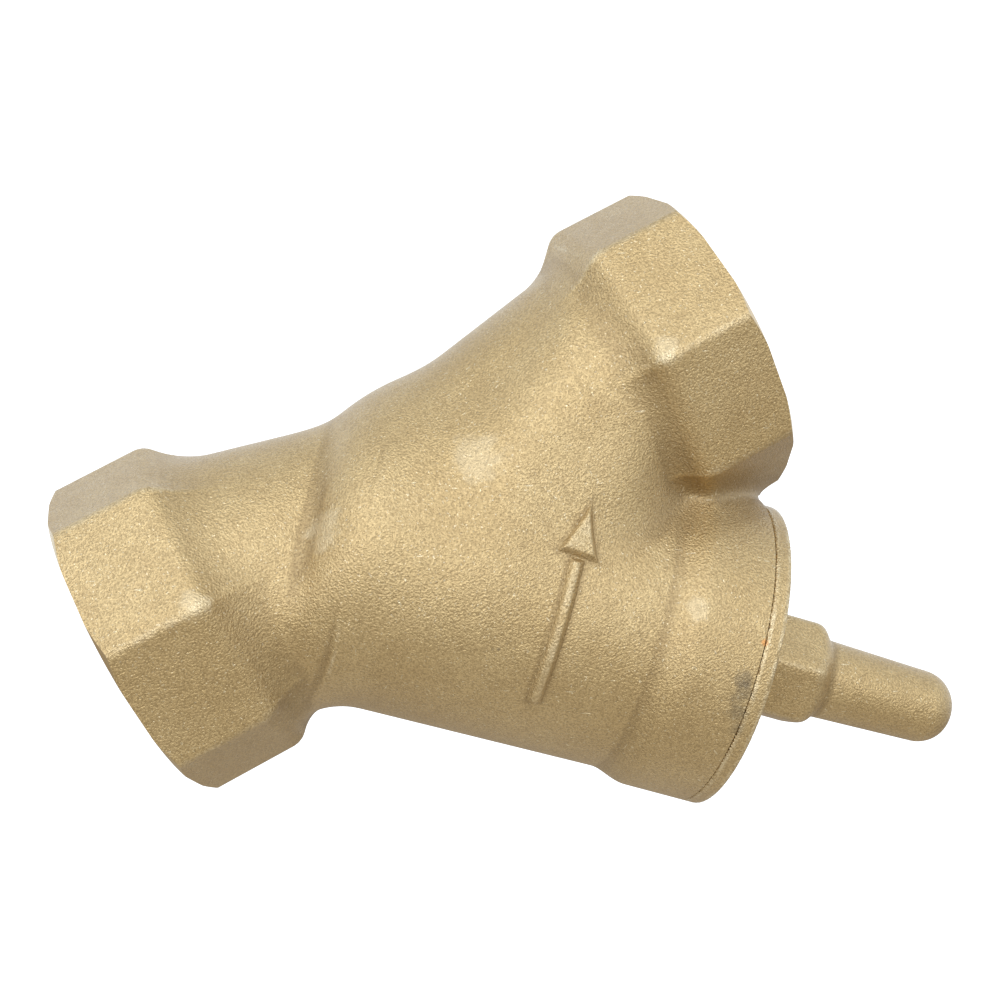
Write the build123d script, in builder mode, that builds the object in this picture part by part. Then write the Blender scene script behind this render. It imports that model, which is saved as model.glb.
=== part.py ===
from build123d import *
from math import cos, degrees, pi, radians, sin
import os

# Y strainer, DN 40, with G 1 1/2 ends: a brass body, a screwed cap on the slanted leg and a screen
# inside the leg.  Millimetres.  The origin is the centre of the inlet's mouth, +X is the flow,
# +Z is up, and the leg leans forward and down.  Distances "along the leg" start where the leg's
# axis crosses the run's axis.

# --- driving dimensions: overall ---------------------------------------------------------------
run_length = 120.0          # inlet face to outlet face
leg_angle = 44.0            # from the run's axis down to the leg's axis
leg_crossing = 38.9         # inlet face to the crossing of the two axes
cap_clearance = 2.1         # along the leg, from the outlet's octagon to the rim of the cap

# --- ends of the run ---------------------------------------------------------------------------
pipe_thread_radius = 23.90  # G 1 1/2, major diameter 47.8
pipe_thread_depth = 1.48
pipe_thread_length = 16.5
end_wall = 4.30             # thread root to the middle of a flat
inlet_end_width = 18.0
outlet_end_width = 17.6
end_edge_radius = 2.2       # along the octagon's corners
end_shoulder = 2.4          # bevel at the back of the octagon
mouth_bevel = 1.2           # turned bevel round the outside of each mouth
mouth_bevel_drop = 1.9
thread_lead_in = 0.8

# --- necks ---------------------------------------------------------------------------------------
inlet_neck_wall = 2.0       # neck over thread radius, at the back of the octagon
outlet_neck_wall = 1.3
waist_wall = 2.8            # over the corner of the screen chamber
waist_lead = 1.6            # the waist lies this far upstream of that corner
waist_radius = 28.0         # rounding of the waist in profile
passage_drop = 5.6          # each passage starts this much smaller than the neck round it
bore_overrun = 1.0          # the void of a bore starts this far outside the mouth

# --- leg -----------------------------------------------------------------------------------------
screen_band_radius = 20.0   # outside of the screen's end bands
chamber_gap = 2.4           # round the screen bands
chamber_start = 3.0         # along the leg
seat_depth = 2.5            # counterbore that holds the screen's top band
seat_land = 2.2             # radial width of the face that the band seats on
seat_lip = 2.5              # thickness of the lip behind the seat
partition_wall = 3.5        # between the inlet passage and the screen chamber
barrel_wall = 5.6           # at the shoulder
barrel_taper = 1.2          # radius lost from shoulder to collar
barrel_start = -3.5         # along the leg
shoulder_radius = 12.5
collar_wall = 4.65          # over the cap thread
collar_length = 11.5
collar_step = 4.5           # length of the slope between barrel and collar
collar_step_rounding = 5.0
web_start = 9.0             # the web to the outlet neck springs from here along the leg
web_clearance = 7.0         # and ends this far short of the outlet's octagon
thread_relief = 2.5         # beyond the cap's skirt

# --- cap -----------------------------------------------------------------------------------------
cap_thread_depth = 1.50
cap_thread_pitch = 2.309
cap_thread_turns = 5
thread_clearance = 0.05
flange_thickness = 2.8
flange_edge = 0.5
seam_gap = 0.30
skirt_chamfer = 0.8
recess_floor = 5.5          # brass left between the screen recess and the cap's outer face
hex_flats = 19.0
hex_end = 17.0              # from the cap's outer face
hex_crown = 2.2
hex_clocking = -7.0         # how the hexagon happens to lie when the cap is tight
spigot_root_radius = 7.5
spigot_tip_radius = 6.65
spigot_end = 44.3           # from the cap's outer face
spigot_nose = 5.8

# --- gasket --------------------------------------------------------------------------------------
gasket_thickness = 1.5
gasket_width = 2.1
gasket_side_clearance = 0.2

# --- screen --------------------------------------------------------------------------------------
sheet_thickness = 0.6
mesh_thickness = 0.35
band_thickness = 0.6
band_width = 5.0
seam_strip_width = 8.0
seam_strip_thickness = 0.5
perforation_diameter = 4.0
perforation_pitch = 6.0
punch_length = 2.4          # of the tool that makes each hole, centred on the sheet's outside
band_margin = 2.5           # plain sheet between a band and the first row of holes
seat_clearance = 0.2
screen_play = 0.3

# --- what follows from them ----------------------------------------------------------------------
slope_cos = cos(radians(leg_angle))
slope_sin = sin(radians(leg_angle))
end_radius = (pipe_thread_radius + end_wall) / cos(pi / 8)
pipe_bore_radius = pipe_thread_radius - pipe_thread_depth

seat_radius = screen_band_radius + seat_clearance
seat_face = chamber_start - seat_depth
lip_back = seat_face - seat_lip
lip_radius = seat_radius - seat_land
chamber_radius = screen_band_radius + chamber_gap
cap_thread_radius = chamber_radius + cap_thread_depth
collar_radius = cap_thread_radius + collar_wall
barrel_radius = chamber_radius + barrel_wall

# the cap's rim passes the octagon's lowest corner edge, which lies at end_radius below the run's axis
flange_face = (collar_radius * slope_cos + end_radius) / slope_sin + cap_clearance
leg_length = flange_face + flange_thickness
collar_end = flange_face - seam_gap
cap_thread_length = cap_thread_turns * cap_thread_pitch
skirt_end = collar_end - cap_thread_length
collar_start = collar_end - collar_length
recess_face = leg_length - recess_floor
hex_corner = hex_flats / 2 / cos(pi / 6)
gasket_seat = flange_face - gasket_thickness
gasket_inner = cap_thread_radius + gasket_side_clearance
gasket_outer = gasket_inner + gasket_width
screen_start = seat_face
screen_end = leg_length - recess_floor - screen_play
tube_radius = screen_band_radius - band_thickness
mesh_outer = tube_radius - sheet_thickness

row_pitch = perforation_pitch * cos(pi / 6)
first_row = screen_start + band_width + band_margin + perforation_diameter / 2
hole_rows = 1 + int((screen_end - screen_start - 2 * (first_row - screen_start)) / row_pitch)
seam_margin = degrees((seam_strip_width / 2 + perforation_diameter) / tube_radius)
hole_columns = 1 + int(radians(360 - 2 * seam_margin) * tube_radius / perforation_pitch)
column_step = (360 - 2 * seam_margin) / (hole_columns - 1)

waist_x = leg_crossing + chamber_start * slope_cos + chamber_radius * slope_sin - waist_lead
waist_z = chamber_radius * slope_cos - chamber_start * slope_sin + waist_wall
waist_bore = waist_z - waist_wall
inlet_neck = pipe_thread_radius + inlet_neck_wall
outlet_neck = pipe_thread_radius + outlet_neck_wall

os.makedirs("parts", exist_ok=True)

leg = Plane(
    origin=(leg_crossing, 0, 0), x_dir=(0, 1, 0), z_dir=(slope_cos, 0, -slope_sin)
)
leg_profile = Plane(
    origin=(leg_crossing, 0, 0), x_dir=(slope_cos, 0, -slope_sin), z_dir=(0, -1, 0)
)
leg_axis = Axis((leg_crossing, 0, 0), (slope_cos, 0, -slope_sin))


def octagon_end(width):
    """An octagonal end along +X from its mouth at the origin, with a turned bevel at the mouth."""
    with BuildPart() as end:
        with BuildSketch(Plane.YZ):
            RegularPolygon(end_radius, 8)
            fillet(vertices(), end_edge_radius)
        extrude(amount=width)
        with BuildSketch(Plane.YZ.offset(width)):
            RegularPolygon(end_radius, 8)
            fillet(vertices(), end_edge_radius)
        with BuildSketch(Plane.YZ.offset(width + end_shoulder)):
            RegularPolygon(end_radius - end_shoulder / cos(pi / 8), 8)
            fillet(vertices(), end_edge_radius)
        loft(ruled=True)
        with BuildSketch(Plane.XZ):
            with BuildLine():
                Polyline(
                    (0, 0),
                    (0, end_radius - mouth_bevel_drop),
                    (mouth_bevel, end_radius),
                    (width + end_shoulder, end_radius),
                    (width + end_shoulder, 0),
                    close=True,
                )
            make_face()
        revolve(axis=Axis.X, mode=Mode.INTERSECT)
    return end.part


def threaded_bore(passage_radius, passage_end_radius, passage_end):
    """The void of one end along +X: lead-in, thread, and a passage that narrows to the waist."""
    thread_end = pipe_thread_length + pipe_thread_depth
    with BuildPart() as void:
        with BuildSketch(Plane.XZ):
            with BuildLine():
                Polyline(
                    (-bore_overrun, 0),
                    (-bore_overrun, pipe_thread_radius + thread_lead_in),
                    (0, pipe_thread_radius + thread_lead_in),
                    (thread_lead_in, pipe_thread_radius),
                    (pipe_thread_length, pipe_thread_radius),
                    (thread_end, pipe_bore_radius),
                    (thread_end + pipe_bore_radius - passage_radius, passage_radius),
                    (passage_end, passage_end_radius),
                    (passage_end, 0),
                    close=True,
                )
            make_face()
        revolve(axis=Axis.X)
    return void.part


# --- body ----------------------------------------------------------------------------------------
inlet_end = octagon_end(inlet_end_width)
outlet_end = octagon_end(outlet_end_width).mirror(Plane.YZ).translate((run_length, 0, 0))

inlet_bore = threaded_bore(inlet_neck - passage_drop, waist_bore, waist_x)
with BuildPart() as inlet_void:
    add(inlet_bore)
    # the wall that keeps the inlet out of the screen chamber
    with BuildSketch(leg.offset(lip_back)):
        Circle(chamber_radius + partition_wall)
    extrude(amount=leg_length, mode=Mode.SUBTRACT)

outlet_bore = threaded_bore(outlet_neck - passage_drop, waist_bore, run_length - leg_crossing)
with BuildPart() as outlet_void:
    add(outlet_bore.mirror(Plane.YZ).translate((run_length, 0, 0)))
    split(bisect_by=leg.offset(chamber_start), keep=Keep.TOP)

with BuildPart() as body:
    # the two necks and the waist between them
    with BuildSketch(Plane.XZ):
        with BuildLine():
            FilletPolyline(
                (0, 0),
                (0, inlet_neck - mouth_bevel_drop),
                (inlet_end_width, inlet_neck),
                (waist_x, waist_z),
                (run_length - outlet_end_width, outlet_neck),
                (run_length, outlet_neck - mouth_bevel_drop),
                (run_length, 0),
                radius=[0, 0, waist_radius, 0, 0],
            )
            Line((run_length, 0), (0, 0))
        make_face()
    revolve(axis=Axis.X)
    add(inlet_end)
    add(outlet_end)
    # the leg: a shouldered barrel that steps out to the collar
    with BuildSketch(leg_profile):
        with BuildLine():
            FilletPolyline(
                (barrel_start, 0),
                (barrel_start, barrel_radius),
                (collar_start - collar_step, barrel_radius - barrel_taper),
                (collar_start, collar_radius),
                (collar_end, collar_radius),
                (collar_end, 0),
                radius=[shoulder_radius, collar_step_rounding, collar_step_rounding, 0],
            )
            Line((collar_end, 0), (barrel_start, 0))
        make_face()
    revolve(axis=leg_axis)
    # the web that blends the leg into the outlet neck
    with BuildSketch(leg.offset(web_start)):
        Circle(barrel_radius - barrel_taper)
    with BuildSketch(Plane.YZ.offset(run_length - outlet_end_width - web_clearance)):
        Circle(outlet_neck - outlet_neck_wall)
    loft(ruled=True)
    # passages
    add(inlet_void, mode=Mode.SUBTRACT)
    add(outlet_void, mode=Mode.SUBTRACT)
    # everything that is bored from the open end of the leg
    with BuildSketch(leg_profile):
        with BuildLine():
            Polyline(
                (lip_back - seat_land, 0),
                (lip_back, lip_radius),
                (seat_face, lip_radius),
                (seat_face, seat_radius),
                (chamber_start, seat_radius),
                (chamber_start, chamber_radius),
                (skirt_end - thread_relief, chamber_radius),
                (skirt_end - thread_relief, cap_thread_radius),
                (gasket_seat, cap_thread_radius),
                (gasket_seat, gasket_outer + gasket_side_clearance),
                (leg_length, gasket_outer + gasket_side_clearance),
                (leg_length, 0),
                close=True,
            )
        make_face()
    revolve(axis=leg_axis, mode=Mode.SUBTRACT)
body.part.label = "body"
export_step(body.part, "parts/body.step")

# --- cap -----------------------------------------------------------------------------------------
with BuildPart() as hexagon:
    with BuildSketch(leg.offset(leg_length - flange_edge)):
        RegularPolygon(hex_flats / 2, 6, major_radius=False, rotation=hex_clocking)
    extrude(amount=hex_end + flange_edge)
    # the far end is crowned
    with BuildSketch(leg_profile):
        with BuildLine():
            FilletPolyline(
                (leg_length - flange_edge, 0),
                (leg_length - flange_edge, hex_corner),
                (leg_length + hex_end, hex_corner),
                (leg_length + hex_end, 0),
                radius=[0, hex_crown],
            )
            Line((leg_length + hex_end, 0), (leg_length - flange_edge, 0))
        make_face()
    revolve(axis=leg_axis, mode=Mode.INTERSECT)

with BuildPart() as cap:
    with BuildSketch(leg_profile):
        with BuildLine():
            FilletPolyline(
                (leg_length, 0),
                (leg_length, collar_radius),
                (flange_face, collar_radius),
                (flange_face, cap_thread_radius - thread_clearance),
                (skirt_end + skirt_chamfer, cap_thread_radius - thread_clearance),
                (skirt_end, cap_thread_radius - thread_clearance - skirt_chamfer),
                (skirt_end, seat_radius + skirt_chamfer),
                (skirt_end + skirt_chamfer, seat_radius),
                (recess_face, seat_radius),
                (recess_face, 0),
                radius=[flange_edge, flange_edge / 2, 0, 0, 0, 0, 0, 0],
            )
            Line((recess_face, 0), (leg_length, 0))
        make_face()
    revolve(axis=leg_axis)
    add(hexagon.part)
    # the rounded spigot beyond the hexagon
    with BuildSketch(leg_profile):
        with BuildLine():
            FilletPolyline(
                (leg_length + hex_end - hex_crown, 0),
                (leg_length + hex_end - hex_crown, spigot_root_radius),
                (leg_length + spigot_end, spigot_tip_radius),
                (leg_length + spigot_end, 0),
                radius=[0, spigot_nose],
            )
            Line((leg_length + spigot_end, 0), (leg_length + hex_end - hex_crown, 0))
        make_face()
    revolve(axis=leg_axis)
cap.part.label = "cap"
export_step(cap.part, "parts/cap.step")


# --- gasket and screen ---------------------------------------------------------------------------
def ring(start, end, inner_radius, outer_radius):
    """A plain ring on the leg's axis, from one distance along the leg to another."""
    with BuildPart() as band:
        with BuildSketch(leg.offset(start)):
            Circle(outer_radius)
            Circle(inner_radius, mode=Mode.SUBTRACT)
        extrude(amount=end - start)
    return band


cap_gasket = ring(gasket_seat, flange_face, gasket_inner, gasket_outer)
cap_gasket.part.label = "cap_gasket"
export_step(cap_gasket.part, "parts/cap_gasket.step")

screen_mesh = ring(screen_start, screen_end, mesh_outer - mesh_thickness, mesh_outer)
screen_mesh.part.label = "screen_mesh"
export_step(screen_mesh.part, "parts/screen_mesh.step")

screen_top_ring = ring(
    screen_start, screen_start + band_width, tube_radius, screen_band_radius
)
screen_top_ring.part.label = "screen_top_ring"
export_step(screen_top_ring.part, "parts/screen_top_ring.step")

screen_bottom_ring = ring(
    screen_end - band_width, screen_end, tube_radius, screen_band_radius
)
screen_bottom_ring.part.label = "screen_bottom_ring"
export_step(screen_bottom_ring.part, "parts/screen_bottom_ring.step")

with BuildPart() as screen_tube:
    with BuildSketch(leg.offset(screen_start)):
        Circle(tube_radius)
        Circle(mesh_outer, mode=Mode.SUBTRACT)
    extrude(amount=screen_end - screen_start)
    # staggered rows of holes that leave the seam and the bands plain
    for row in range(hole_rows):
        with Locations(leg.offset(first_row + row * row_pitch)):
            with PolarLocations(
                tube_radius,
                hole_columns - row % 2,
                start_angle=seam_margin + (row % 2) * column_step / 2,
                angular_range=360 - 2 * seam_margin - (row % 2) * column_step,
                endpoint=True,
            ):
                Cylinder(
                    perforation_diameter / 2,
                    punch_length,
                    rotation=(0, 90, 0),
                    mode=Mode.SUBTRACT,
                )
screen_tube.part.label = "screen_tube"
export_step(screen_tube.part, "parts/screen_tube.step")

with BuildPart() as screen_seam_strip:
    with BuildSketch(leg.offset(screen_start + band_width)):
        Circle(tube_radius + seam_strip_thickness)
        Circle(tube_radius, mode=Mode.SUBTRACT)
        with Locations((tube_radius, 0)):
            Rectangle(tube_radius, seam_strip_width, mode=Mode.INTERSECT)
    extrude(amount=screen_end - screen_start - 2 * band_width)
screen_seam_strip.part.label = "screen_seam_strip"
export_step(screen_seam_strip.part, "parts/screen_seam_strip.step")
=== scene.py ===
from math import cos, pi, radians, sin, tan

import bpy
import numpy as np
import openvdb
from mathutils import Matrix, Vector


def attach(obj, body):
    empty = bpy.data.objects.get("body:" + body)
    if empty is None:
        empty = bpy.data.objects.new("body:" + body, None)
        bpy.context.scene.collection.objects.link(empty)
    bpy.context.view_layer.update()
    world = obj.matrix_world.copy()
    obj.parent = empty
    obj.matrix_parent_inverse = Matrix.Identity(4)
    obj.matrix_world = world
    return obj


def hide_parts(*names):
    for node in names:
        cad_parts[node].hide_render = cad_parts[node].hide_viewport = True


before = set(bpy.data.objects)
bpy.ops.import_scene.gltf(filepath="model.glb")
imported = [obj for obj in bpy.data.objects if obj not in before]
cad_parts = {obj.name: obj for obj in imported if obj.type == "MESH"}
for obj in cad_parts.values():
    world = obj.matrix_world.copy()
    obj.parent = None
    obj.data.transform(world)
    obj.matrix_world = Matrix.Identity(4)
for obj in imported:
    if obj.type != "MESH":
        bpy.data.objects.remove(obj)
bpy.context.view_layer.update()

MM = 0.001

# ---------------------------------------------------------------------------------------------
# The design's sizes, in millimetres, in the frame of the CAD model: the origin is the centre of
# the inlet's mouth, +X is the flow, +Z is up.  "Along the leg" starts where the axes cross.
# ---------------------------------------------------------------------------------------------
RUN_LENGTH = 120.0
LEG_ANGLE = radians(44.0)
LEG_CROSSING = 38.9
CAP_CLEARANCE = 2.1

PIPE_THREAD_RADIUS = 23.90
PIPE_THREAD_DEPTH = 1.48
PIPE_THREAD_LENGTH = 16.5
PIPE_THREAD_PITCH = 2.309
LEAD_IN = 0.8
END_WALL = 4.30
INLET_END_WIDTH = 18.0
OUTLET_END_WIDTH = 17.6
MOUTH_BEVEL = 1.2
MOUTH_BEVEL_DROP = 1.9
CORNER_RADIUS = 2.2

INLET_NECK = PIPE_THREAD_RADIUS + 2.0
OUTLET_NECK = PIPE_THREAD_RADIUS + 1.3
PASSAGE_DROP = 5.6

SCREEN_BAND_RADIUS = 20.0
CHAMBER_RADIUS = SCREEN_BAND_RADIUS + 2.4
CHAMBER_START = 3.0
SEAT_RADIUS = SCREEN_BAND_RADIUS + 0.2
SEAT_FACE = CHAMBER_START - 2.5
LIP_BACK = SEAT_FACE - 2.5
LIP_RADIUS = SEAT_RADIUS - 2.2
PARTITION_RADIUS = CHAMBER_RADIUS + 3.5
BARREL_RADIUS = CHAMBER_RADIUS + 5.6
BARREL_TAPER = 1.2
BARREL_START = -3.5
SHOULDER_RADIUS = 12.5

CAP_THREAD_RADIUS = CHAMBER_RADIUS + 1.50
CAP_THREAD_PITCH = 2.309
CAP_THREAD_DEPTH = 1.30
THREAD_CLEARANCE = 0.05
COLLAR_RADIUS = CAP_THREAD_RADIUS + 4.65
FLAT_DISTANCE = PIPE_THREAD_RADIUS + END_WALL
END_RADIUS = FLAT_DISTANCE / cos(pi / 8)
FLANGE_FACE = (COLLAR_RADIUS * cos(LEG_ANGLE) + END_RADIUS) / sin(LEG_ANGLE) + CAP_CLEARANCE
FLANGE_THICKNESS = 2.8
LEG_LENGTH = FLANGE_FACE + FLANGE_THICKNESS
COLLAR_END = FLANGE_FACE - 0.30
COLLAR_START = COLLAR_END - 11.5
COLLAR_STEP = 4.5
COLLAR_CUTTER = COLLAR_RADIUS + 1.6
SKIRT_END = COLLAR_END - 5 * CAP_THREAD_PITCH
THREAD_RELIEF = 2.5
GASKET_SEAT = FLANGE_FACE - 1.5
GASKET_INNER = CAP_THREAD_RADIUS + 0.2
GASKET_OUTER = GASKET_INNER + 2.1
RECESS_FACE = LEG_LENGTH - 5.5
HEX_FLAT = 9.5
HEX_END = 17.0
HEX_CLOCKING = radians(-7.0)
SPIGOT_ROOT = 7.5
SPIGOT_TIP = 6.65
SPIGOT_END = 44.3
SPIGOT_NOSE = 5.8
SCREEN_START = SEAT_FACE
SCREEN_END = RECESS_FACE - 0.3
WIRE_RADIUS_OUTER = SCREEN_BAND_RADIUS - 0.6 - 0.6
WIRE_SHEET = 0.35

WAIST_WALL = 2.8
WAIST_X = LEG_CROSSING + CHAMBER_START * cos(LEG_ANGLE) + CHAMBER_RADIUS * sin(LEG_ANGLE) - 1.6
WAIST_Z = CHAMBER_RADIUS * cos(LEG_ANGLE) - CHAMBER_START * sin(LEG_ANGLE) + WAIST_WALL
WAIST_BORE = WAIST_Z - WAIST_WALL

LEG_DIR = np.array([cos(LEG_ANGLE), 0.0, -sin(LEG_ANGLE)])
LEG_UP = np.array([sin(LEG_ANGLE), 0.0, cos(LEG_ANGLE)])
LEG_ORIGIN = np.array([LEG_CROSSING, 0.0, 0.0])

STOCK = 2.0
OVERRUN = 4.0
BIG = 120.0

VOXEL = 0.6


# ---------------------------------------------------------------------------------------------
# Distance fields: the forgings are described by rounded shapes that melt into each other.
# Negative is metal.  All of them take arrays of points in millimetres.
# ---------------------------------------------------------------------------------------------
def smooth_max(a, b, k):
    h = np.maximum(k - np.abs(a - b), 0.0) / k
    return np.maximum(a, b) + h * h * k * 0.25


def smooth_min(a, b, k):
    return -smooth_max(-a, -b, k)


def smooth_step(a, b, x):
    t = np.clip((x - a) / (b - a), 0.0, 1.0)
    return t * t * (3.0 - 2.0 * t)


def rounded_end(side, end, radius):
    """The field of a body bounded by a side and an end that meet in a round of this radius."""
    a = side + radius
    b = end + radius
    outside = np.sqrt(np.maximum(a, 0.0) ** 2 + np.maximum(b, 0.0) ** 2)
    return outside + np.minimum(np.maximum(a, b), 0.0) - radius


def octagon_end(depth, y, z, width):
    """An octagonal end, depth measured inwards from its mouth, with bevelled inner shoulders."""
    angle = np.mod(np.arctan2(z, y), pi / 4) - pi / 8
    rho = np.sqrt(y * y + z * z)
    out = rho * np.cos(angle) - (FLAT_DISTANCE - CORNER_RADIUS)
    past = np.abs(rho * np.sin(angle)) - (FLAT_DISTANCE - CORNER_RADIUS) * tan(pi / 8)
    corner = np.sqrt(np.maximum(out, 0.0) ** 2 + np.maximum(past, 0.0) ** 2)
    flat = np.where(past > 0.0, corner, out) - CORNER_RADIUS
    bevel = (flat + depth - width) * 0.7071
    return smooth_max(flat, bevel, 1.3)


def run_necks(x, rho):
    """Two cones that meet at the waist and run straight under the octagons."""
    far = RUN_LENGTH - OUTLET_END_WIDTH
    rise = np.maximum(x - INLET_END_WIDTH, 0.0) * (WAIST_Z - INLET_NECK)
    inlet = INLET_NECK + rise / (WAIST_X - INLET_END_WIDTH)
    outlet = WAIST_Z + (np.minimum(x, far) - WAIST_X) * (OUTLET_NECK - WAIST_Z) / (far - WAIST_X)
    return (rho - smooth_max(inlet, outlet, 3.0)) * 0.975


def leg_coordinates(x, y, z):
    along = (x - LEG_CROSSING) * LEG_DIR[0] + z * LEG_DIR[2]
    up = (x - LEG_CROSSING) * LEG_UP[0] + z * LEG_UP[2]
    return along, up, np.sqrt(up * up + y * y)


def barrel(along, q):
    """The leg: a barrel with a rounded shoulder that steps out to the collar."""
    t = np.clip((along - BARREL_START) / (COLLAR_START - COLLAR_STEP - BARREL_START), 0.0, 1.0)
    radius = BARREL_RADIUS - BARREL_TAPER * t
    step = smooth_step(COLLAR_START - COLLAR_STEP - 1.5, COLLAR_START + 1.0, along)
    radius = radius + (COLLAR_RADIUS - BARREL_RADIUS + BARREL_TAPER) * step
    return rounded_end(q - radius, BARREL_START - along, SHOULDER_RADIUS)


WEB_START = 9.0
WEB_END = RUN_LENGTH - OUTLET_END_WIDTH - 3.0
WEB_LEG_RADIUS = BARREL_RADIUS - 0.6
WEB_RUN_RADIUS = OUTLET_NECK - 1.5
WEB_SQUARE = 3.0
PIVOT_Z = ((WEB_END - LEG_CROSSING) * cos(LEG_ANGLE) - WEB_START) / sin(LEG_ANGLE)
PIVOT_TO_LEG = np.hypot(
    WEB_END - LEG_CROSSING - WEB_START * cos(LEG_ANGLE), PIVOT_Z + WEB_START * sin(LEG_ANGLE)
)


def web(x, y, z):
    """The horn between leg and outlet: discs that turn about a line above the outlet's neck."""
    dx = x - WEB_END
    dz = z - PIVOT_Z
    turn = np.clip(np.arctan2(-dx, -dz) / LEG_ANGLE, -0.15, 1.1)
    reach = PIVOT_Z + (PIVOT_TO_LEG - PIVOT_Z) * turn
    radius = WEB_RUN_RADIUS + (WEB_LEG_RADIUS - WEB_RUN_RADIUS) * turn
    side = np.abs(np.sqrt(dx * dx + dz * dz) - reach)
    square = 2.0 + (WEB_SQUARE - 2.0) * smooth_step(0.0, 0.28, turn)
    disc = ((side**square + np.abs(y) ** square) ** (1.0 / square) - radius) * 0.9
    sunk = 4.0 * (1.0 - smooth_step(WEB_START, WEB_START + 22.0, along_leg(x, z)))
    return np.maximum(disc + sunk, np.maximum(x - WEB_END, -along_leg(x, z) + WEB_START))


def along_leg(x, z):
    return (x - LEG_CROSSING) * LEG_DIR[0] + z * LEG_DIR[2]


# How far each joint between the shapes is rounded.  The crease between inlet neck and leg is
# sharp in front and on top, and melts away towards the outlet and a little below the axis.
CREASE_FILLET = 2.0
MELTED_FILLET = 11.0
MELT_BELOW = 0.8
HORN_FILLET = 4.0
INLET_FILLET = 3.0
OUTLET_FILLET = 2.6


def body_forging(x, y, z):
    """The outside of the body's forging, left long at the mouths and the collar for machining."""
    rho = np.sqrt(y * y + z * z)
    along, up, q = leg_coordinates(x, y, z)
    inlet = octagon_end(x, y, z, INLET_END_WIDTH)
    outlet = octagon_end(RUN_LENGTH - x, y, z, OUTLET_END_WIDTH)
    necks = run_necks(x, rho)
    leg = np.maximum(barrel(along, q), along - COLLAR_END - STOCK)
    horn = web(x, y, z)
    below = MELT_BELOW * smooth_step(4.0, -10.0, z) * smooth_step(-30.0, -25.0, z)
    melt = np.maximum(smooth_step(40.0, 64.0, x), below)
    crease = smooth_min(necks, leg, CREASE_FILLET)
    melted = smooth_min(necks, leg, MELTED_FILLET)
    metal = crease + (melted - crease) * melt
    metal = smooth_min(metal, horn, HORN_FILLET)
    metal = smooth_min(metal, inlet, INLET_FILLET)
    metal = smooth_min(metal, outlet, OUTLET_FILLET)
    return np.maximum(metal, np.maximum(-STOCK - x, x - RUN_LENGTH - STOCK))


# ---------------------------------------------------------------------------------------------
# From a field to a mesh
# ---------------------------------------------------------------------------------------------
def field_mesh(field, low, high, voxel):
    """Quads on the zero surface of a field, every vertex moved onto it exactly."""
    low = np.array(low, float)
    counts = np.ceil((np.array(high, float) - low) / voxel).astype(int) + 1
    axes = [low[i] + voxel * np.arange(counts[i]) for i in range(3)]
    values = np.empty(counts, np.float32)
    for i, x in enumerate(axes[0]):
        y, z = np.meshgrid(axes[1], axes[2], indexing="ij")
        values[i] = field(np.full_like(y, x), y, z)
    grid = openvdb.FloatGrid(3.0 * voxel)
    grid.copyFromArray(np.clip(values, -3.0 * voxel, 3.0 * voxel))
    points, quads = grid.convertToQuads(0.0)
    points = low + points.astype(float) * voxel
    for _ in range(3):
        d, g = field_and_slope(field, points, 0.25 * voxel)
        points -= g * (d / np.maximum((g * g).sum(1), 0.2))[:, None]
    return points, quads.astype(int)[:, ::-1].tolist()


def field_and_slope(field, p, e):
    x, y, z = p[:, 0], p[:, 1], p[:, 2]
    g = np.stack(
        [
            field(x + e, y, z) - field(x - e, y, z),
            field(x, y + e, z) - field(x, y - e, z),
            field(x, y, z + e) - field(x, y, z - e),
        ],
        1,
    ) / (2 * e)
    return field(x, y, z), g


def mesh_object(name, points, faces, materials=(), index=0):
    """A mesh from points in millimetres; every face takes the material of this index."""
    mesh = bpy.data.meshes.new(name)
    mesh.from_pydata((np.asarray(points) * MM).tolist(), [], [list(f) for f in faces])
    mesh.validate()
    for material in materials:
        mesh.materials.append(material)
    mesh.polygons.foreach_set("material_index", [index] * len(mesh.polygons))
    mesh.shade_smooth()
    obj = bpy.data.objects.new(name, mesh)
    bpy.context.collection.objects.link(obj)
    return obj


def turned_solid(name, profile, origin, axis, materials, index=1, segments=160):
    """A closed solid of revolution from (distance along the axis, radius) pairs.

    A radius may be a function of the angle, for threads.
    """
    axis = Vector(axis).normalized()
    turn = Vector((0, 0, 1)).rotation_difference(axis).to_matrix()
    angles = np.arange(segments) * 2 * pi / segments
    rows = []
    for s, r in profile:
        radius = r(angles) if callable(r) else np.full(segments, r)
        rows.append(np.stack([radius * np.cos(angles), radius * np.sin(angles), np.full(segments, s)], 1))
    points = np.concatenate(rows + [[[0, 0, profile[0][0]], [0, 0, profile[-1][0]]]])
    points = points @ np.array(turn).T + np.array(origin)
    faces = []
    around = np.arange(segments)
    after = (around + 1) % segments
    for k in range(len(rows) - 1):
        a, b = k * segments, (k + 1) * segments
        faces += np.stack([a + around, a + after, b + after, b + around], 1).tolist()
    first, last = len(points) - 2, len(points) - 1
    faces += np.stack([around * 0 + first, after, around], 1).tolist()
    top = (len(rows) - 1) * segments
    faces += np.stack([around * 0 + last, top + around, top + after], 1).tolist()
    return mesh_object(name, points, faces, materials, index)


def combine(target, tool, operation):
    """Applies one boolean and deletes the tool."""
    step = target.modifiers.new("step", "BOOLEAN")
    step.operation = operation
    step.solver = "MANIFOLD"
    step.object = tool
    with bpy.context.temp_override(object=target):
        bpy.ops.object.modifier_apply(modifier=step.name)
    bpy.data.objects.remove(tool)


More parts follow.
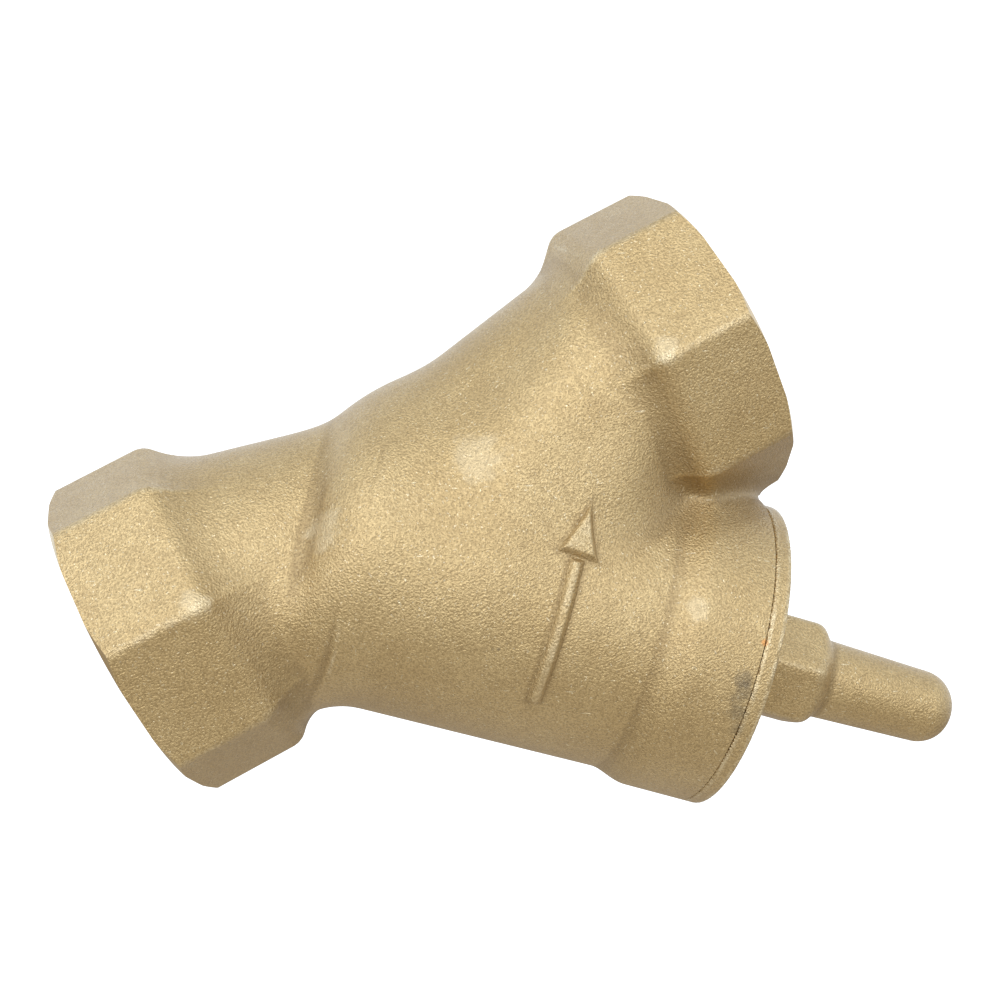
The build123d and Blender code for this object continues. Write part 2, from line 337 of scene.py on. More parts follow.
def thread_rows(start, end, radius, depth, pitch, fade_in, fade_out):
    """Rows of a right-hand thread: a rounded 55 degree profile that winds round the wall."""
    rows = []
    count = int((end - start) / pitch * (10))
    for i in range(count + 1):
        s = start + (end - start) * i / count
        fade = smooth_step(-0.001, fade_in, s - start) * smooth_step(-0.001, fade_out, end - s)

        def wall(angles, s=s, fade=fade):
            ridge = np.abs(np.mod(s / pitch - angles / (2 * pi), 1.0) - 0.5) * 2.0
            return radius - depth * fade * np.clip((ridge - 0.14) / 0.72, 0.0, 1.0)

        rows.append((s, wall))
    return rows


def run_bore(name, neck, far, origin, axis, materials):
    """The void of one end of the run: lead-in, pipe thread and a passage that narrows."""
    thread_end = PIPE_THREAD_LENGTH + PIPE_THREAD_DEPTH
    small = PIPE_THREAD_RADIUS - PIPE_THREAD_DEPTH
    passage = neck - PASSAGE_DROP
    mouth = PIPE_THREAD_RADIUS + LEAD_IN
    profile = (
        [(-OVERRUN, mouth), (0.0, mouth)]
        + thread_rows(
            LEAD_IN, PIPE_THREAD_LENGTH, PIPE_THREAD_RADIUS, PIPE_THREAD_DEPTH, PIPE_THREAD_PITCH, 1.4, 1.8
        )
        + [(thread_end, small), (thread_end + small - passage, passage), (far, WAIST_BORE)]
    )
    return turned_solid(name, profile, origin, axis, materials)


# ---------------------------------------------------------------------------------------------
# Body
# ---------------------------------------------------------------------------------------------
def add_wear_and_crease_shade(obj, field, start, convex, concave):
    """Writes how sharply the forging turns at each vertex: wear on edges, and a mask for painted shade in
    creases.
    """
    mesh = obj.data
    co = np.empty(len(mesh.vertices) * 3)
    mesh.vertices.foreach_get("co", co)
    p = co.reshape(-1, 3) / MM
    reach = 0.9
    bend = -6.0 * field(p[:, 0], p[:, 1], p[:, 2])
    for step in np.vstack([np.eye(3), -np.eye(3)]) * reach:
        q = p + step
        bend += field(q[:, 0], q[:, 1], q[:, 2])
    bend /= reach * reach
    # wear brightens convex edges; the concave mask darkens creases as painted shade
    for name, value in (("wear", (bend - start) / convex), ("cavity", (-bend - 0.01) / concave)):
        layer = mesh.attributes.new(name, "FLOAT", "POINT")
        layer.data.foreach_set("value", np.clip(value, 0.0, 1.0))


def finish_mesh(obj):
    """Clean normals: smooth forging, crisp machined edges."""
    obj.data.validate()
    obj.data.shade_smooth()
    obj.data.set_sharp_from_angle(angle=radians(32))


# A plain raised arrow on the front of the leg, where the photographed part has raised letters.
ARROW_LENGTH = 36.0
ARROW_HEAD = 9.0
ARROW_WIDTH = 8.0
ARROW_SHAFT = 3.0
ARROW_PROUD = 0.85
ARROW_ALONG = 41.3
ARROW_SKIN_RADIUS = BARREL_RADIUS - 0.7
ARROW_SUNK = 0.08
ARROW_MARGIN = 0.12
ARROW_SLOPE = 1.15


def arrow_height(across, along):
    """How far the cast arrow stands proud, over the leg's surface unrolled flat."""
    beyond = np.abs(across + ARROW_HEAD / 2) - (ARROW_LENGTH - ARROW_HEAD) / 2
    shaft = np.maximum(np.abs(along) - ARROW_SHAFT / 2, beyond)
    tip = ARROW_LENGTH / 2
    slope = ARROW_WIDTH / 2 / ARROW_HEAD
    head = np.maximum(
        (np.abs(along) - (tip - across) * slope) / np.hypot(1.0, slope),
        tip - ARROW_HEAD - across,
    )
    inside = -np.minimum(shaft, head)
    rise = smooth_step(-ARROW_MARGIN, ARROW_SLOPE, inside)
    return -ARROW_SUNK + (ARROW_PROUD + ARROW_SUNK) * rise, inside


def arrow_field(x, y, z):
    """The arrow on the front of the leg: the forging's skin raised inside the outline."""
    along, up, q = leg_coordinates(x, y, z)
    across = np.arctan2(up, -y) * ARROW_SKIN_RADIUS
    height, inside = arrow_height(across, along - ARROW_ALONG)
    skin = body_forging(x, y, z)
    return np.maximum(np.maximum(skin - height, -skin - 0.9), -inside - ARROW_MARGIN)


def mark_arrow(obj):
    """Painted shadow at the root of the cast arrow and a rub along its crown."""
    mesh = obj.data
    co = np.empty(len(mesh.vertices) * 3)
    mesh.vertices.foreach_get("co", co)
    x, y, z = (co.reshape(-1, 3) / MM).T
    along, up, q = leg_coordinates(x, y, z)
    across = np.arctan2(up, -y) * ARROW_SKIN_RADIUS
    inside = arrow_height(across, along - ARROW_ALONG)[1]
    near = (y < 0.0) & (inside > -0.6) & (np.abs(body_forging(x, y, z)) < ARROW_PROUD + 0.4)
    # painted shadow: the crease mask raised along the arrow's outline
    root_shadow = np.where(near, 1.0 - smooth_step(0.1, 0.6, np.abs(inside)), 0.0)
    crown = np.where(near, 0.5 * smooth_step(0.7, 1.2, inside), 0.0)
    for name, extra in (("cavity", root_shadow), ("wear", crown)):
        layer = mesh.attributes[name]
        value = np.empty(len(mesh.vertices), np.float32)
        layer.data.foreach_get("value", value)
        layer.data.foreach_set("value", np.maximum(value, extra.astype(np.float32)))


def build_body(materials):
    """The forging, faced and bevelled at its three openings, then bored and threaded."""
    low = (-3.0, -31.2, -77.5)
    high = (RUN_LENGTH + 3.0, 31.2, 31.2)
    points, quads = field_mesh(body_forging, low, high, VOXEL)
    body = mesh_object("body_forging", points, quads, materials)

    arrow_points, arrow_quads = field_mesh(
        arrow_field, (50.0, -30.5, -51.0), (88.0, -17.0, -9.0), 0.25
    )
    combine(body, mesh_object("arrow", arrow_points, arrow_quads, materials), "UNION")

    faced = turned_solid(
        "faced",
        [
            (0.0, END_RADIUS - MOUTH_BEVEL_DROP),
            (MOUTH_BEVEL, END_RADIUS),
            (MOUTH_BEVEL, BIG),
            (RUN_LENGTH - MOUTH_BEVEL, BIG),
            (RUN_LENGTH - MOUTH_BEVEL, END_RADIUS),
            (RUN_LENGTH, END_RADIUS - MOUTH_BEVEL_DROP),
        ],
        (0, 0, 0),
        (1, 0, 0),
        materials,
    )
    combine(body, faced, "INTERSECT")
    cutter = [(COLLAR_END, COLLAR_CUTTER), (COLLAR_END + BIG, COLLAR_CUTTER)]
    collar_face = turned_solid("collar_face", cutter, LEG_ORIGIN, LEG_DIR, materials)
    combine(body, collar_face, "DIFFERENCE")

    inlet = run_bore("inlet_bore", INLET_NECK, WAIST_X, (0, 0, 0), (1, 0, 0), materials)
    kept = [(LIP_BACK, PARTITION_RADIUS), (LEG_LENGTH, PARTITION_RADIUS)]
    partition = turned_solid("partition", kept, LEG_ORIGIN, LEG_DIR, materials)
    combine(inlet, partition, "DIFFERENCE")
    combine(body, inlet, "DIFFERENCE")
    outlet = run_bore(
        "outlet_bore", OUTLET_NECK, RUN_LENGTH - LEG_CROSSING, (RUN_LENGTH, 0, 0), (-1, 0, 0), materials
    )
    upstream = turned_solid("upstream", [(-BIG, BIG), (CHAMBER_START, BIG)], LEG_ORIGIN, LEG_DIR, materials)
    combine(outlet, upstream, "DIFFERENCE")
    combine(body, outlet, "DIFFERENCE")

    leg = turned_solid(
        "leg_bore",
        [
            (LIP_BACK - LIP_RADIUS, 0.01),
            (LIP_BACK, LIP_RADIUS),
            (SEAT_FACE, LIP_RADIUS),
            (SEAT_FACE, SEAT_RADIUS),
            (CHAMBER_START, SEAT_RADIUS),
            (CHAMBER_START, CHAMBER_RADIUS),
            (SKIRT_END - THREAD_RELIEF, CHAMBER_RADIUS),
            (SKIRT_END - THREAD_RELIEF, CAP_THREAD_RADIUS),
        ]
        + thread_rows(
            SKIRT_END + 0.2,
            GASKET_SEAT - 1.2,
            CAP_THREAD_RADIUS,
            CAP_THREAD_DEPTH,
            CAP_THREAD_PITCH,
            1.2,
            1.2,
        )
        + [
            (GASKET_SEAT, CAP_THREAD_RADIUS),
            (GASKET_SEAT, GASKET_OUTER + 0.2),
            (LEG_LENGTH, GASKET_OUTER + 0.2),
        ],
        LEG_ORIGIN,
        LEG_DIR,
        materials,
    )
    combine(body, leg, "DIFFERENCE")
    add_wear_and_crease_shade(body, body_forging, 0.26, 0.40, 0.14)
    mark_arrow(body)
    finish_mesh(body)
    return body


# ---------------------------------------------------------------------------------------------
# Cap
# ---------------------------------------------------------------------------------------------
def cap_forging(x, y, z):
    """Flange, hexagon and spigot in one, with soft roots and worn edges."""
    along, up, q = leg_coordinates(x, y, z)
    h = along - LEG_LENGTH
    half = (FLANGE_THICKNESS + 0.16) / 2
    flange = rounded_end(q - COLLAR_RADIUS, np.abs(h + half) - half, 0.45)
    angle = np.mod(np.arctan2(up, y) - HEX_CLOCKING, pi / 3) - pi / 6
    flat = q * np.cos(angle) - HEX_FLAT
    corner = q - (HEX_FLAT / cos(pi / 6) - 0.35)
    sides = smooth_max(flat, corner, 0.5)
    crown = (h - HEX_END) * 0.92 + np.maximum(q - 8.2, 0.0) * 0.62
    hexagon = smooth_max(sides, smooth_max(crown, -h - 1.0, 0.4), 1.6)
    t = np.clip((h - HEX_END) / (SPIGOT_END - HEX_END), 0.0, 1.0)
    spigot = rounded_end(q - SPIGOT_ROOT - (SPIGOT_TIP - SPIGOT_ROOT) * t, h - SPIGOT_END, SPIGOT_NOSE)
    spigot = np.maximum(spigot, -h - 1.0)
    metal = smooth_min(hexagon, spigot, 1.6)
    return smooth_min(metal, flange, 1.2)


def build_cap(materials):
    low = LEG_ORIGIN + LEG_DIR * (FLANGE_FACE - 2.0) - (22.0, 31.0, 22.0)
    high = LEG_ORIGIN + LEG_DIR * (LEG_LENGTH + SPIGOT_END) + (8.0, 31.0, 8.0)
    low = np.minimum(low, (70.0, -31.0, -92.0))
    high = np.maximum(high, (120.0, 31.0, -30.0))
    points, quads = field_mesh(cap_forging, low, high, 0.42)
    cap = mesh_object("cap_forging", points, quads, materials)
    outer = CAP_THREAD_RADIUS - THREAD_CLEARANCE
    threads = thread_rows(SKIRT_END, FLANGE_FACE - 0.5, outer, CAP_THREAD_DEPTH, CAP_THREAD_PITCH, 0.0, 1.4)
    chamfered = []
    for along, wall in threads:

        def chamfer(angles, wall=wall, limit=outer - 0.8 + (along - SKIRT_END)):
            return np.minimum(wall(angles), limit)

        chamfered.append((along, chamfer))
    skirt = turned_solid("skirt", chamfered + [(FLANGE_FACE + 1.0, outer)], LEG_ORIGIN, LEG_DIR, materials)
    combine(cap, skirt, "UNION")
    recess = turned_solid(
        "recess",
        [
            (SKIRT_END - 2.0, SEAT_RADIUS + 0.8),
            (SKIRT_END, SEAT_RADIUS + 0.8),
            (SKIRT_END + 0.8, SEAT_RADIUS),
            (RECESS_FACE, SEAT_RADIUS),
        ],
        LEG_ORIGIN,
        LEG_DIR,
        materials,
    )
    combine(cap, recess, "DIFFERENCE")
    add_wear_and_crease_shade(cap, cap_forging, 0.30, 0.5, 0.3)
    finish_mesh(cap)
    return cap


# ---------------------------------------------------------------------------------------------
# Screen: the woven wire inside the perforated tube
# ---------------------------------------------------------------------------------------------
WIRE_PITCH = 1.1
WIRE_RADIUS = 0.085


def wire_tube(paths, closed):
    """Four-sided wires along many paths of (along, angle, radius) rows, all the same length."""
    count, steps, _ = paths.shape
    along, angle, radius = paths[..., 0], paths[..., 1], paths[..., 2]

    def place(a, t, r):
        side = np.cos(t)[..., None] * np.array([0.0, 1.0, 0.0]) + np.sin(t)[..., None] * LEG_UP
        return LEG_ORIGIN + LEG_DIR * a[..., None] + side * r[..., None]

    ring = []
    for k in range(4):
        a = k * pi / 2
        if closed:
            ring.append(place(along + WIRE_RADIUS * cos(a), angle, radius + WIRE_RADIUS * sin(a)))
        else:
            ring.append(place(along, angle + WIRE_RADIUS * cos(a) / radius, radius + WIRE_RADIUS * sin(a)))
    points = np.stack(ring, 2).reshape(-1, 3)
    faces = []
    for w in range(count):
        base = w * steps * 4
        for i in range(steps if closed else steps - 1):
            j = (i + 1) % steps
            for k in range(4):
                n = (k + 1) % 4
                faces.append((base + i * 4 + k, base + i * 4 + n, base + j * 4 + n, base + j * 4 + k))
        if not closed:
            faces.append((base + 3, base + 2, base + 1, base))
            last = base + (steps - 1) * 4
            faces.append((last, last + 1, last + 2, last + 3))
    return points, faces


def build_wires(materials):
    """Plain weave rolled into a tube: wires along it, and rings that pass over and under them."""
    middle = WIRE_RADIUS_OUTER - WIRE_SHEET / 2
    columns = 2 * int(pi * middle / WIRE_PITCH)
    rows = 2 * int((SCREEN_END - SCREEN_START) / WIRE_PITCH / 2)
    pitch = (SCREEN_END - SCREEN_START) / rows
    lift = WIRE_RADIUS * 0.95
    steps = np.arange(2 * rows + 1)
    long_paths = np.empty((columns, len(steps), 3))
    for c in range(columns):
        long_paths[c, :, 0] = SCREEN_START + steps * pitch / 2
        long_paths[c, :, 1] = c * 2 * pi / columns
        long_paths[c, :, 2] = middle + lift * np.sin(steps * pi / 2) * (-1) ** c
    turn = np.arange(2 * columns)
    ring_paths = np.empty((rows, len(turn), 3))
    for r in range(rows):
        ring_paths[r, :, 0] = SCREEN_START + (r + 0.5) * pitch
        ring_paths[r, :, 1] = turn * pi / columns
        ring_paths[r, :, 2] = middle - lift * np.cos(turn * pi / 2) * (-1) ** r
    wires = []
    for name, paths, closed in (
        ("screen_wires_long", long_paths, False),
        ("screen_wires_round", ring_paths, True),
    ):
        points, faces = wire_tube(paths, closed)
        wires.append(mesh_object(name, points, faces, materials))
    return wires


# ---------------------------------------------------------------------------------------------
# Materials
# ---------------------------------------------------------------------------------------------
class Nodes:
    """Short way to write a node tree: n("Type", input=value or socket, ...) returns the node."""

    def __init__(self, name):
        self.material = bpy.data.materials.new(name)
        self.material.use_nodes = True
        self.tree = self.material.node_tree
        self.shader = self.tree.nodes["Principled BSDF"]

    def __call__(self, kind, settings=None, **inputs):
        node = self.tree.nodes.new("ShaderNode" + kind)
        for key, value in (settings or {}).items():
            setattr(node, key, value)
        for key, value in inputs.items():
            self.put(node, key.replace("_", " "), value)
        return node

    def put(self, node, key, value):
        socket = node.inputs[int(key[1:])] if key[0] == "i" and key[1:].isdigit() else node.inputs[key]
        if isinstance(value, bpy.types.NodeSocket):
            self.tree.links.new(value, socket)
        else:
            socket.default_value = value

    def millimetres(self, stretch=(1.0, 1.0, 1.0), turn=(0.0, 0.0, 0.0)):
        """Object coordinates in millimetres, turned and stretched."""
        place = self("TexCoord").outputs["Object"]
        scale = tuple(1000.0 * v for v in stretch)
        turned = self("Mapping", {"vector_type": "POINT"}, Vector=place, Rotation=turn).outputs[0]
        return self("VectorMath", {"operation": "MULTIPLY"}, i0=turned, i1=scale).outputs[0]

    def noise(self, at, scale, detail=2.0, roughness=0.5):
        """Noise from 0 to 1; scale is in cycles per millimetre."""
        return self("TexNoise", Vector=at, Scale=scale, Detail=detail, Roughness=roughness).outputs["Fac"]

    def math(self, operation, a, b=0.0, c=0.0):
        return self("Math", {"operation": operation}, i0=a, i1=b, i2=c).outputs[0]

    def span(self, value, low, high, to_low=0.0, to_high=1.0):
        """Maps low..high to to_low..to_high, clamped and eased at both ends."""
        ease = {"interpolation_type": "SMOOTHSTEP"}
        return self("MapRange", ease, i0=value, i1=low, i2=high, i3=to_low, i4=to_high).outputs[0]

    def blend(self, factor, a, b, mode="MIX"):
        node = self("Mix", {"data_type": "RGBA", "blend_type": mode})
        self.put(node, "i0", factor)
        self.put(node, "i6", a)
        self.put(node, "i7", b)
        return node.outputs[2]

    def bump(self, height, distance, strength=1.0, normal=None):
        node = self("Bump", Height=height, Distance=distance * MM, Strength=strength)
        if normal:
            self.put(node, "Normal", normal)
        return node.outputs[0]


def colour(r, g, b):
    return (r, g, b, 1.0)


# (turn, stretch) of the space in which each set of nicks is drawn
NICK_DIRECTIONS = (
    ((0.3, 0.5, 0.9), (0.25, 1.6, 1.6)),
    ((1.2, -0.4, 0.2), (1.7, 0.3, 1.7)),
    ((0.1, 1.1, -0.7), (1.5, 1.5, 0.22)),
)


def forged_brass():
    """Shot-blasted brass: a fine grain, short bright nicks, worn edges, hollows that are duller and painted
    darker as shade, and a few painted highlights.
    """
    n = Nodes("forged_brass")
    at = n.millimetres()
    wear = n("Attribute", {"attribute_name": "wear"}).outputs["Fac"]
    cavity = n("Attribute", {"attribute_name": "cavity"}).outputs["Fac"]
    cloud = n.noise(at, 0.05, 3.0, 0.6)
    blotch = n.noise(at, 0.35, 3.0, 0.6)
    grain = n.noise(at, 2.7, 2.0, 0.6)
    fine = n.noise(at, 7.0, 1.0, 0.5)
    base = n.blend(n.span(cloud, 0.35, 0.65), BRASS_DULL, BRASS_BRIGHT)
    base = n.blend(n.span(blotch, 0.35, 0.7, 0.0, 0.22), base, BRASS_BROWN)
    pits = n.span(grain, 0.36, 0.60)
    base = n.blend(n.math("MULTIPLY", n.math("SUBTRACT", 1.0, pits), 0.50), base, BRASS_PIT)
    # painted shade: creases and the arrow's root darkened towards a dark brown
    base = n.blend(n.math("MULTIPLY", cavity, 0.38), base, CREASE_SHADE_BROWN)

    # short nicks and scratches, in three directions
    nicks = None
    for turn, stretch in NICK_DIRECTIONS:
        cut = n.span(n.noise(n.millimetres(stretch, turn), 1.0, 1.0, 0.4), 0.765, 0.80)
        nicks = cut if nicks is None else n.math("MAXIMUM", nicks, cut)
    spark = n.span(n.noise(at, 2.6, 0.0, 0.0), 0.73, 0.80)
    rub = n.math("MULTIPLY", wear, n.span(n.math("ADD", blotch, n.math("MULTIPLY", grain, 0.7)), 0.62, 1.10))
    rub = n.math("MULTIPLY", rub, 0.85)
    bare = n.math("MAXIMUM", n.math("MULTIPLY", n.math("MAXIMUM", nicks, spark), 0.75), rub)
    base = n.blend(n.math("MULTIPLY", bare, 0.6), base, BARE_BRASS_AND_HIGHLIGHT)
    # single stains, and spots of painted highlight in bare-brass colour
    for centre, radius, tint, amount in STAINS_AND_HIGHLIGHTS:
        away = n("VectorMath", {"operation": "DISTANCE"}, i0=at, i1=centre).outputs["Value"]
        ragged = n.math("ADD", away, n.math("MULTIPLY", n.math("SUBTRACT", blotch, 0.5), -radius * 1.6))
        base = n.blend(n.span(ragged, radius * 0.35, radius, amount, 0.0), base, tint)
    rough = n.math("ADD", 0.35, n.math("MULTIPLY", n.math("SUBTRACT", blotch, 0.5), 0.18))
    rough = n.math("ADD", rough, n.math("MULTIPLY", bare, -0.17))
    rough = n.math("ADD", rough, n.math("MULTIPLY", cavity, 0.08))
    n.put(n.shader, "Base Color", base)
    n.put(n.shader, "Roughness", rough)
    n.put(n.shader, "Metallic", 0.75)
    n.put(n.shader, "Coat Weight", 0.3)
    n.put(n.shader, "Coat Roughness", 0.45)
    relief = n.bump(grain, 0.27, 1.0)
    relief = n.bump(fine, 0.05, 0.7, relief)
    relief = n.bump(n.math("MULTIPLY", nicks, -1.0), 0.05, 0.6, relief)
    n.put(n.shader, "Normal", relief)
    return n.material


def machined_brass():
    """Turned brass: bright, with fine tool lines round the axis of each opening."""
    n = Nodes("machined_brass")
    at = n.millimetres()
    part = n("SeparateXYZ", Vector=at)
    x, y, z = part.outputs
    run_radius = n.math("SQRT", n.math("ADD", n.math("MULTIPLY", y, y), n.math("MULTIPLY", z, z)))
    along = n.math(
        "ADD",
        n.math("MULTIPLY", n.math("SUBTRACT", x, LEG_CROSSING), float(LEG_DIR[0])),
        n.math("MULTIPLY", z, float(LEG_DIR[2])),
    )
    run_place = n("CombineXYZ", X=n.math("MULTIPLY", x, 3.0), Y=n.math("MULTIPLY", run_radius, 3.0))
    leg_place = n("CombineXYZ", X=n.math("MULTIPLY", along, 3.0))
    run_lines = n.noise(run_place.outputs[0], 2.0, 3.0, 0.7)
    leg_lines = n.noise(leg_place.outputs[0], 2.0, 3.0, 0.7)
    on_leg = n.span(along, 48.0, 52.0)
    lines = n("Mix", {"data_type": "FLOAT"})
    n.put(lines, "i0", on_leg)
    n.put(lines, "i2", run_lines)
    n.put(lines, "i3", leg_lines)
    lines = lines.outputs[0]
    film = n.noise(at, 0.12, 3.0, 0.6)
    base = n.blend(n.span(film, 0.35, 0.7), colour(0.83, 0.65, 0.35), colour(0.72, 0.52, 0.25))
    base = n.blend(n.span(lines, 0.3, 0.75, 0.25, 0.0), base, colour(0.42, 0.28, 0.11))
    n.put(n.shader, "Base Color", base)
    n.put(n.shader, "Metallic", 1.0)
    n.put(n.shader, "Roughness", n.span(lines, 0.3, 0.7, 0.34, 0.22))
    n.put(n.shader, "Normal", n.bump(lines, 0.03, 0.6))
    return n.material


def stainless(name, rough, lines):
    """Stainless steel, finely drawn, with a faint water stain."""
    n = Nodes(name)
    at = n.millimetres((1.0, 1.0, 1.0), (0.0, -LEG_ANGLE, 0.0))
    pulled = n("VectorMath", {"operation": "MULTIPLY"}, i0=at, i1=(0.12, 3.0, 3.0)).outputs[0]
    drawn = n.noise(pulled, lines, 3.0, 0.6)
    stain = n.noise(at, 0.15, 3.0, 0.6)
    base = n.blend(n.span(stain, 0.4, 0.7), colour(0.62, 0.62, 0.61), colour(0.50, 0.49, 0.46))
    base = n.blend(n.span(drawn, 0.35, 0.65, 0.0, 0.4), base, colour(0.72, 0.72, 0.72))
    n.put(n.shader, "Base Color", base)
    n.put(n.shader, "Metallic", 1.0)
    n.put(n.shader, "Roughness", n.span(drawn, 0.3, 0.7, rough + 0.08, rough - 0.05))
    n.put(n.shader, "Normal", n.bump(drawn, 0.02, 0.5))
    return n.material


def red_fibre():
    """Vulcanised fibre: matt dull red with short pale fibres."""
    n = Nodes("red_fibre")
    at = n.millimetres()
    cloud = n.noise(at, 0.3, 3.0, 0.6)
    hair = n.noise(n.millimetres((0.5, 3.0, 3.0), (0.4, 0.2, 0.8)), 1.0, 2.0, 0.6)
    base = n.blend(n.span(cloud, 0.35, 0.65), colour(0.30, 0.055, 0.025), colour(0.22, 0.04, 0.02))
    base = n.blend(n.span(hair, 0.62, 0.75, 0.0, 0.5), base, colour(0.50, 0.19, 0.10))
    n.put(n.shader, "Base Color", base)
    n.put(n.shader, "Roughness", n.span(hair, 0.3, 0.7, 0.85, 0.70))
    n.put(n.shader, "Normal", n.bump(hair, 0.06, 0.6))
    return n.material


# Colours of the forging, and its single stains and painted highlights: (centre in mm, radius in mm, colour,
# strength).
BRASS_BRIGHT = colour(0.63, 0.455, 0.21)
BRASS_DULL = colour(0.57, 0.40, 0.175)
BRASS_BROWN = colour(0.46, 0.31, 0.135)
BRASS_PIT = colour(0.26, 0.165, 0.06)
CREASE_SHADE_BROWN = colour(0.22, 0.135, 0.05)
BARE_BRASS_AND_HIGHLIGHT = colour(0.92, 0.78, 0.50)
GRAPHITE = colour(0.10, 0.085, 0.065)
COPPERY = colour(0.72, 0.30, 0.07)
STAINS_AND_HIGHLIGHTS = [
    ((89.5, -28.3, -53.2), 2.0, GRAPHITE, 0.40),
    ((88.2, -27.9, -55.4), 2.6, GRAPHITE, 0.42),
    ((86.8, -27.0, -58.0), 2.4, GRAPHITE, 0.38),
    ((85.2, -25.8, -60.4), 1.8, GRAPHITE, 0.30),
    ((95.6, -28.3, -49.6), 0.9, COPPERY, 0.7),
    ((55.2, -25.9, -29.0), 0.5, GRAPHITE, 0.5),
    ((56.0, -25.9, -29.4), 0.5, GRAPHITE, 0.5),
    # painted highlights in bare-brass colour: the shoulder by the inlet crease, the outlet neck (worn there
    # as well), the front of the collar step and the octagons' front corners
    ((40.0, -24.0, 2.0), 4.5, BARE_BRASS_AND_HIGHLIGHT, 0.28),
    ((68.0, -23.0, 0.0), 6.0, BARE_BRASS_AND_HIGHLIGHT, 0.22),
    ((88.7, -27.8, -39.5), 2.8, BARE_BRASS_AND_HIGHLIGHT, 0.22),
    ((16.9, -30.3, 0.7), 3.4, BARE_BRASS_AND_HIGHLIGHT, 0.25),
    ((103.3, -30.3, 1.4), 3.4, BARE_BRASS_AND_HIGHLIGHT, 0.25),
]

forged = forged_brass()
machined = machined_brass()
body = build_body([forged, machined])
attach(body, "body")
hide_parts("body")

cap = build_cap([forged, machined])
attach(cap, "cap")
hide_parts("cap")

wire = stainless("stainless_wire", 0.30, 3.0)
wires = build_wires([wire])
for piece in wires:
    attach(piece, "screen")
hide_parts("screen_mesh")
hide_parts("screen_mesh")

sheet = stainless("stainless_sheet", 0.34, 0.6)
for name in ("screen_tube", "screen_top_ring", "screen_bottom_ring", "screen_seam_strip"):
    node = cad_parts[name]
    node.data.materials.clear()
    node.data.materials.append(sheet)
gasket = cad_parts["cap_gasket"]
gasket.data.materials.clear()
gasket.data.materials.append(red_fibre())

# ---------------------------------------------------------------------------------------------
# Camera, stage and light
# ---------------------------------------------------------------------------------------------
VIEW_TARGET = Vector((71.3, 0.0, -8.6)) * MM
VIEW_AZIMUTH = radians(6.09)
VIEW_ELEVATION = radians(2.13)
VIEW_ROLL = radians(28.0)
VIEW_DISTANCE = 245.4 * MM
LENS = 47.7

forward = Vector(
    (
        sin(VIEW_AZIMUTH) * cos(VIEW_ELEVATION),
        cos(VIEW_AZIMUTH) * cos(VIEW_ELEVATION),
        -sin(VIEW_ELEVATION),
    )
)
level_right = forward.cross(Vector((0, 0, 1))).normalized()
level_up = level_right.cross(forward)
right = level_right * cos(VIEW_ROLL) - level_up * sin(VIEW_ROLL)
up = level_up * cos(VIEW_ROLL) + level_right * sin(VIEW_ROLL)

lens = bpy.data.cameras.new("camera")
lens.sensor_width = 36.0
lens.lens = LENS
lens.shift_x = -0.0032
lens.shift_y = -0.0021
lens.clip_start = 0.01
camera = bpy.data.objects.new("camera", lens)
bpy.context.collection.objects.link(camera)
turn = Matrix((right, up, -forward)).transposed()
camera.matrix_world = Matrix.Translation(VIEW_TARGET - forward * VIEW_DISTANCE) @ turn.to_4x4()
bpy.context.scene.camera = camera


def build_stage():
    """A pale floor that curves up into a round wall, so that no edge shows from any side."""
    floor_z, floor_radius, sweep, wall_top = -420.0, 1100.0, 500.0, 1500.0
    profile = [(0.0, floor_z), (floor_radius, floor_z)]
    for k in range(1, 13):
        a = pi / 2 * k / 12
        profile.append((floor_radius + sweep * sin(a), floor_z + sweep * (1 - cos(a))))
    profile.append((floor_radius + sweep, wall_top))
    segments = 96
    points, faces = [], []
    angles = [2 * pi * j / segments for j in range(segments)]
    for r, z in profile:
        points += [(r * cos(angle), r * sin(angle), z) for angle in angles]
    for k in range(len(profile) - 1):
        for j in range(segments):
            n = (j + 1) % segments
            faces.append((k * segments + j, k * segments + n, (k + 1) * segments + n, (k + 1) * segments + j))
    paper = bpy.data.materials.new("backdrop_paper")
    paper.use_nodes = True
    shader = paper.node_tree.nodes["Principled BSDF"]
    shader.inputs["Base Color"].default_value = (0.5, 0.5, 0.5, 1)
    shader.inputs["Roughness"].default_value = 0.9
    shader.inputs["Emission Color"].default_value = (1, 1, 1, 1)
    shader.inputs["Emission Strength"].default_value = 0.95
    stage = mesh_object("backdrop", np.array(points) + np.array([60.0, 0, 0]), faces, [paper])
    stage.visible_diffuse = False
    stage.visible_glossy = False
    stage.visible_shadow = False


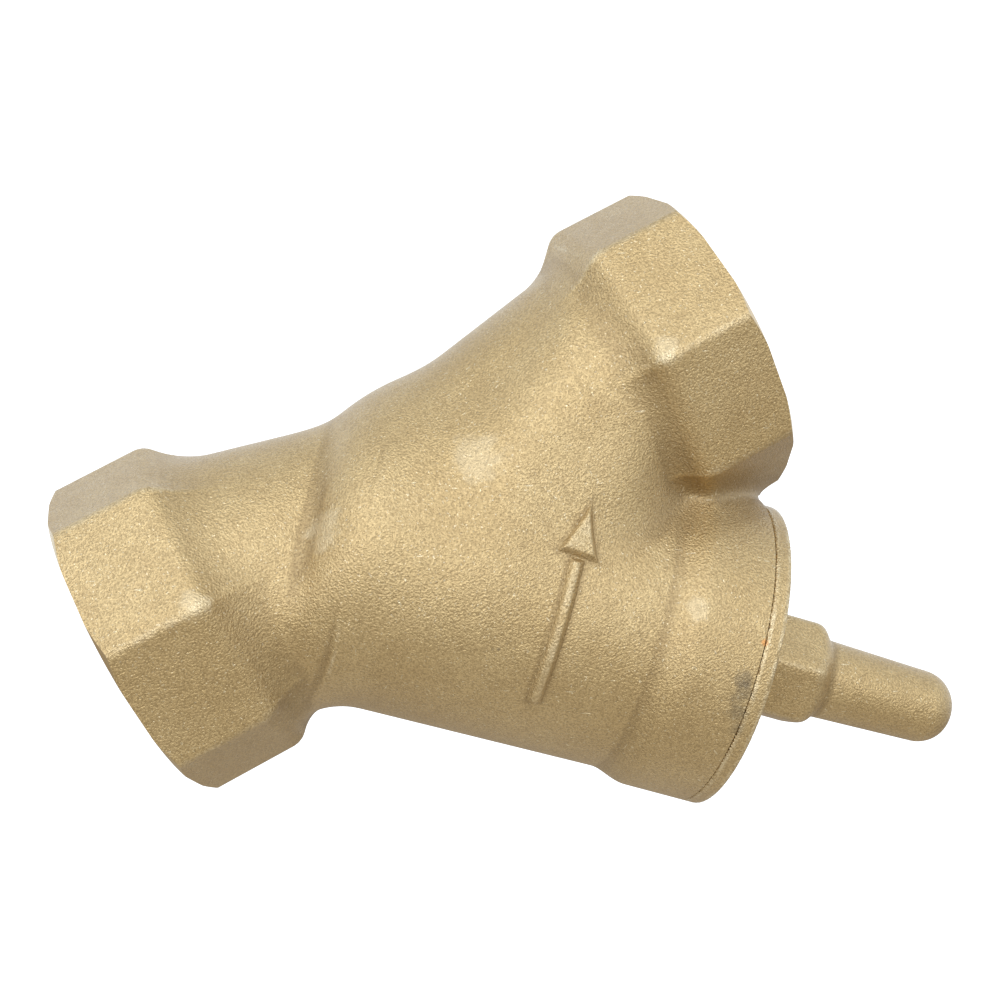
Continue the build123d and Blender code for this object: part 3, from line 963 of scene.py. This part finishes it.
def area_light(name, direction, distance, size, power, colour=(1, 1, 1)):
    """A soft box that looks at the object; direction is (camera right, camera up, towards camera)."""
    light = bpy.data.lights.new(name, "AREA")
    light.shape = "RECTANGLE"
    light.size, light.size_y = size
    light.energy = power
    light.color = colour
    obj = bpy.data.objects.new(name, light)
    bpy.context.collection.objects.link(obj)
    obj.visible_camera = False
    back = (right * direction[0] + up * direction[1] - forward * direction[2]).normalized()
    side = up.cross(back).normalized()
    axes = Matrix((side, back.cross(side), back)).transposed()
    obj.matrix_world = Matrix.Translation(VIEW_TARGET + back * distance) @ axes.to_4x4()


build_stage()
area_light("key", (-0.10, 0.38, 0.93), 1.0, (1.5, 1.0), 7.5, (0.95, 1.0, 1.12))

# a big soft tent: bright above the level of the camera's axis, dim just below it, paler at the floor
TENT_FLOOR = (0.70, 0.69, 0.67, 1)
TENT_DIM = (0.37, 0.335, 0.29, 1)
TENT_BRIGHT = (0.97, 1.06, 1.21, 1)
TENT_TOP = (0.76, 0.80, 0.86, 1)
world = bpy.data.worlds.new("studio")
world.use_nodes = True
tree = world.node_tree
direction = tree.nodes.new("ShaderNodeTexCoord")
height = tree.nodes.new("ShaderNodeVectorMath")
height.operation = "DOT_PRODUCT"
height.inputs[1].default_value = up
tent = tree.nodes.new("ShaderNodeValToRGB")
tent.color_ramp.interpolation = "EASE"
tent.color_ramp.elements[0].position = 0.30
tent.color_ramp.elements[0].color = TENT_DIM
tent.color_ramp.elements[1].position = 0.50
tent.color_ramp.elements[1].color = TENT_BRIGHT
for position, tone in ((0.84, TENT_BRIGHT), (0.97, TENT_TOP), (0.0, TENT_FLOOR)):
    stop = tent.color_ramp.elements.new(position)
    stop.color = tone
half = tree.nodes.new("ShaderNodeMath")
half.operation = "MULTIPLY_ADD"
half.inputs[1].default_value = 0.5
half.inputs[2].default_value = 0.5
tree.links.new(direction.outputs["Generated"], height.inputs[0])
tree.links.new(height.outputs["Value"], half.inputs[0])
tree.links.new(half.outputs[0], tent.inputs[0])
tree.links.new(tent.outputs[0], tree.nodes["Background"].inputs["Color"])
tree.nodes["Background"].inputs["Strength"].default_value = 1.0
bpy.context.scene.world = world
bpy.context.scene.view_settings.view_transform = "Standard"
